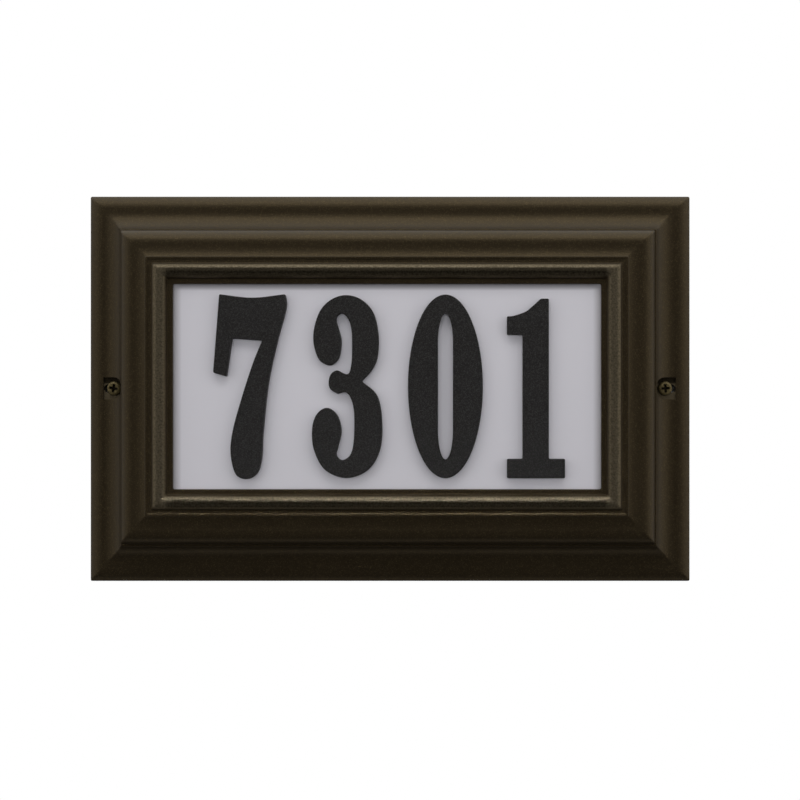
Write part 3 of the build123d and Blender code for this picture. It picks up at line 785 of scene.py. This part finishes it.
hidden_tones = {
    "plated_steel": ((0.42, 0.43, 0.45), (0.56, 0.57, 0.58), 160.0, 0.36, 0.9),
    "black_steel": ((0.012, 0.012, 0.013), (0.022, 0.022, 0.024), 160.0, 0.5),
    "mill_aluminium": ((0.5, 0.5, 0.51), (0.64, 0.64, 0.65), 240.0, 0.38, 0.9),
    "foam": ((0.02, 0.02, 0.021), (0.05, 0.05, 0.052), 1400.0, 0.9, 0.0, 0.6, 0.0005),
    "grommet_rubber": ((0.012, 0.012, 0.012), (0.025, 0.025, 0.026), 300.0, 0.6),
    "white_board": ((0.72, 0.72, 0.7), (0.8, 0.8, 0.78), 900.0, 0.35),
    "led_plastic": ((0.78, 0.7, 0.34), (0.86, 0.8, 0.45), 500.0, 0.4),
    "white_nylon": ((0.7, 0.7, 0.67), (0.78, 0.78, 0.75), 400.0, 0.5),
    "terminal_green": ((0.02, 0.2, 0.06), (0.03, 0.26, 0.09), 400.0, 0.45),
}
hidden_finishes = {name: plain_finish(name, *numbers) for name, numbers in hidden_tones.items()}
hidden_finishes["opal_acrylic"] = opal
slot_of = {row["node"]: row["material_slot"] for row in frame["record"]["subparts"]}
replaced = {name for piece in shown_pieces() for name in piece.get("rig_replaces", [])}
dressed = 0
for name, node in nodes.items():
    if name in replaced:
        continue
    node.data.materials.clear()
    # Painted shade: the standoffs seen through the screw slots are dressed in black steel.
    standoff_painted_shade = name.startswith("cover_standoff")
    node.data.materials.append(hidden_finishes["black_steel" if standoff_painted_shade else slot_of[name]])
    dressed += 1
print("dressed", dressed, "packed nodes")

# %% [markdown]
# The camera stands where the photographer stood: about 0.7 m away, level, a little to
# the right of the plaque's middle and a little below it. The picture is then slid on its
# sensor until the plaque is centred, which keeps the sides parallel, as in the photo.

# %% Camera
focal_pixels, picture_pixels = 1215.3, 800.0
middle_pixel = (390.13, 388.78)
camera_x, camera_z, camera_distance = 46.0, -32.8, 707.0
outline_distance = camera_distance - skirt_height
shift_x_pixels = focal_pixels * camera_x / outline_distance
shift_y_pixels = focal_pixels * camera_z / outline_distance

lens_data = bpy.data.cameras.new("front_camera")
lens_data.sensor_width = 36.0
lens_data.lens = focal_pixels / picture_pixels * lens_data.sensor_width
lens_data.shift_x = -(middle_pixel[0] + shift_x_pixels - picture_pixels / 2) / picture_pixels
lens_data.shift_y = (middle_pixel[1] - shift_y_pixels - picture_pixels / 2) / picture_pixels
camera = bpy.data.objects.new("front_camera", lens_data)
camera.location = (camera_x * MM, -camera_distance * MM, camera_z * MM)
camera.rotation_euler = (math.pi / 2, 0.0, 0.0)
bpy.context.scene.collection.objects.link(camera)
bpy.context.scene.camera = camera
print("lens", round(lens_data.lens, 2), "shift", round(lens_data.shift_x, 4), round(lens_data.shift_y, 4))

# %% [markdown]
# The light is a plain studio. A glossy dark coat shows what stands around it more than
# what colour it has, so most of the work is in what it reflects: soft boxes above, in
# front and low at both sides, and dark cards where a face should stay dark. The lamps
# whose names end in fill light the panel and aren't seen in the coat. One narrow box
# has a grid that keeps its light on the lower bead. Places and sizes are in metres.

# %% Soft boxes
warm_light = (1.0, 0.96, 0.89)


def soft_box(name, place, target, width, height, watts, spread=180.0):
    """Area lamp at a place, turned to face a target point; the spread is in degrees."""
    data = bpy.data.lights.new(name, "AREA")
    data.shape = "RECTANGLE"
    data.size, data.size_y = width, height
    data.energy = watts
    data.spread = math.radians(spread)
    lamp = bpy.data.objects.new(name, data)
    lamp.location = place
    direction = np.array(target, float) - np.array(place, float)
    lamp.rotation_euler = Vector(direction).to_track_quat("-Z", "Y").to_euler()
    bpy.context.scene.collection.objects.link(lamp)
    return lamp


lamps = {
    "left_wall": ((-0.88, -0.1, 0.0), (0, -0.1, 0), 0.9, 1.4, 1.9),
    "right_wall": ((0.88, -0.1, 0.0), (0, -0.1, 0), 0.9, 1.4, 2.6),
    "left_front": ((-0.75, -0.6, 0.1), (0, 0, 0), 0.5, 0.8, 0.4),
    "right_front": ((0.75, -0.6, 0.1), (0, 0, 0), 0.5, 0.8, 0.3),
    "low_front": ((0.0, -0.97, 0.17), (0, 0, 0), 1.0, 0.2, 0.25),
    "high_front": ((0.0, -0.57, 0.82), (0, 0, 0), 1.2, 0.35, 1.8),
    "high_wall": ((0.0, -0.16, 0.88), (0, -0.03, 0), 1.2, 0.25, 0.5),
    "bead_box": ((0.0, -0.8, 0.45), (0, -0.038, -0.076), 1.2, 0.04, 0.06, 9.0),
    "table": ((0.0, -0.2, -0.42), (0, -0.2, 0), 1.4, 1.2, 0.65),
    "wall_wash": ((0.0, -0.03, -0.34), (0, -0.03, 0), 1.0, 0.06, 0.12),
    "key_fill": ((0.0, -0.62, 0.78), (0, 0, 0), 1.2, 0.5, 1.2),
    "front_fill": ((0.0, -1.2, 0.0), (0, 0, 0), 1.4, 0.5, 2.8),
    "left_fill": ((-0.85, -0.5, 0.15), (0, 0, 0), 0.6, 0.8, 1.0),
    "right_fill": ((0.85, -0.5, 0.15), (0, 0, 0), 0.6, 0.8, 1.0),
}
for name, numbers in lamps.items():
    lamp = soft_box(name, *numbers)
    fills_panel, lights_bead = name.endswith("_fill"), name == "bead_box"
    lamp.visible_glossy = not fills_panel
    lamp.visible_diffuse = not lights_bead
    if not fills_panel and not lights_bead:
        lamp.data.color = warm_light
print(len(lamps), "soft boxes")

# %% [markdown]
# The floor is pale, and so is the world in a picture or a mirror. For everything else the
# world is dim, or its even white would flatten the moulding. The cards stand between the
# coat and whatever it shouldn't reflect, and the camera doesn't see them.

# %% Floor and dark cards
def flat_piece(name, corners, colour, roughness, glow=0.0):
    """One quad of the studio with a flat matt finish; a glow shows in pictures and lights nothing."""
    mesh = bpy.data.meshes.new(name)
    mesh.from_pydata(corners, [], [(0, 1, 2, 3)])
    sheet = bpy.data.objects.new(name, mesh)
    finish = Finish(name)
    finish.set(Base_Color=colour, Roughness=roughness, Specular_IOR_Level=0.0)
    if glow:
        rays = finish.tree.nodes.new("ShaderNodeLightPath").outputs
        mirrored = finish.pair("MAXIMUM", rays["Is Glossy Ray"], rays["Is Transmission Ray"])
        shown = finish.pair("MAXIMUM", rays["Is Camera Ray"], mirrored)
        finish.set(Emission_Color=colour, Emission_Strength=finish.map(shown, 0, 1, 0.0, glow))
    mesh.materials.append(finish.material)
    bpy.context.scene.collection.objects.link(sheet)
    return sheet


floor_z = -0.9
flat_piece("floor", [(-0.9, -1.3, floor_z), (0.9, -1.3, floor_z), (0.9, 0.5, floor_z), (-0.9, 0.5, floor_z)],
           (0.86, 0.86, 0.86), 0.9, 0.75)
cards = {
    "front_card": ([(-1.6, -1.6, -0.8), (-1.6, -1.6, 2.0), (1.6, -1.6, 2.0), (1.6, -1.6, -0.8)], 0.02),
    "under_card": ([(-0.8, -1.2, -0.5), (0.8, -1.2, -0.5), (0.8, 0.6, -0.35), (-0.8, 0.6, -0.35)], 0.02),
    "left_card": ([(-0.95, -1.3, -0.6), (-0.95, 0.9, -0.6), (-0.95, 0.9, 0.5), (-0.95, -1.3, 0.5)], 0.05),
    "right_card": ([(0.95, -1.3, -0.6), (0.95, 0.9, -0.6), (0.95, 0.9, 0.5), (0.95, -1.3, 0.5)], 0.05),
}
for name, (corners, tone) in cards.items():
    card = flat_piece(name, corners, (tone, tone, tone), 1.0)
    card.visible_camera = False
print("floor at", floor_z, "m, and", len(cards), "dark cards")

# %% World, white to the camera and in reflections
world = bpy.data.worlds.new("studio")
bpy.context.scene.world = world
world.use_nodes = True
tree = world.node_tree
tree.nodes.clear()
rays = tree.nodes.new("ShaderNodeLightPath")
seen = tree.nodes.new("ShaderNodeMath")
seen.operation = "MAXIMUM"
seen_or_through = tree.nodes.new("ShaderNodeMath")
seen_or_through.operation = "MAXIMUM"
white = tree.nodes.new("ShaderNodeBackground")
white.inputs["Color"].default_value = (1.0, 1.0, 1.0, 1.0)
white.inputs["Strength"].default_value = 1.0
dim = tree.nodes.new("ShaderNodeBackground")
dim.inputs["Color"].default_value = (1.0, 0.98, 0.96, 1.0)
dim.inputs["Strength"].default_value = 0.3
choice = tree.nodes.new("ShaderNodeMixShader")
result = tree.nodes.new("ShaderNodeOutputWorld")
tree.links.new(rays.outputs["Is Camera Ray"], seen.inputs[0])
tree.links.new(rays.outputs["Is Glossy Ray"], seen.inputs[1])
tree.links.new(seen.outputs[0], seen_or_through.inputs[0])
tree.links.new(rays.outputs["Is Transmission Ray"], seen_or_through.inputs[1])
tree.links.new(seen_or_through.outputs[0], choice.inputs[0])
tree.links.new(dim.outputs[0], choice.inputs[1])
tree.links.new(white.outputs[0], choice.inputs[2])
tree.links.new(choice.outputs[0], result.inputs[0])
bpy.context.scene.view_settings.view_transform = "Standard"
print("world", len(tree.nodes), "nodes")
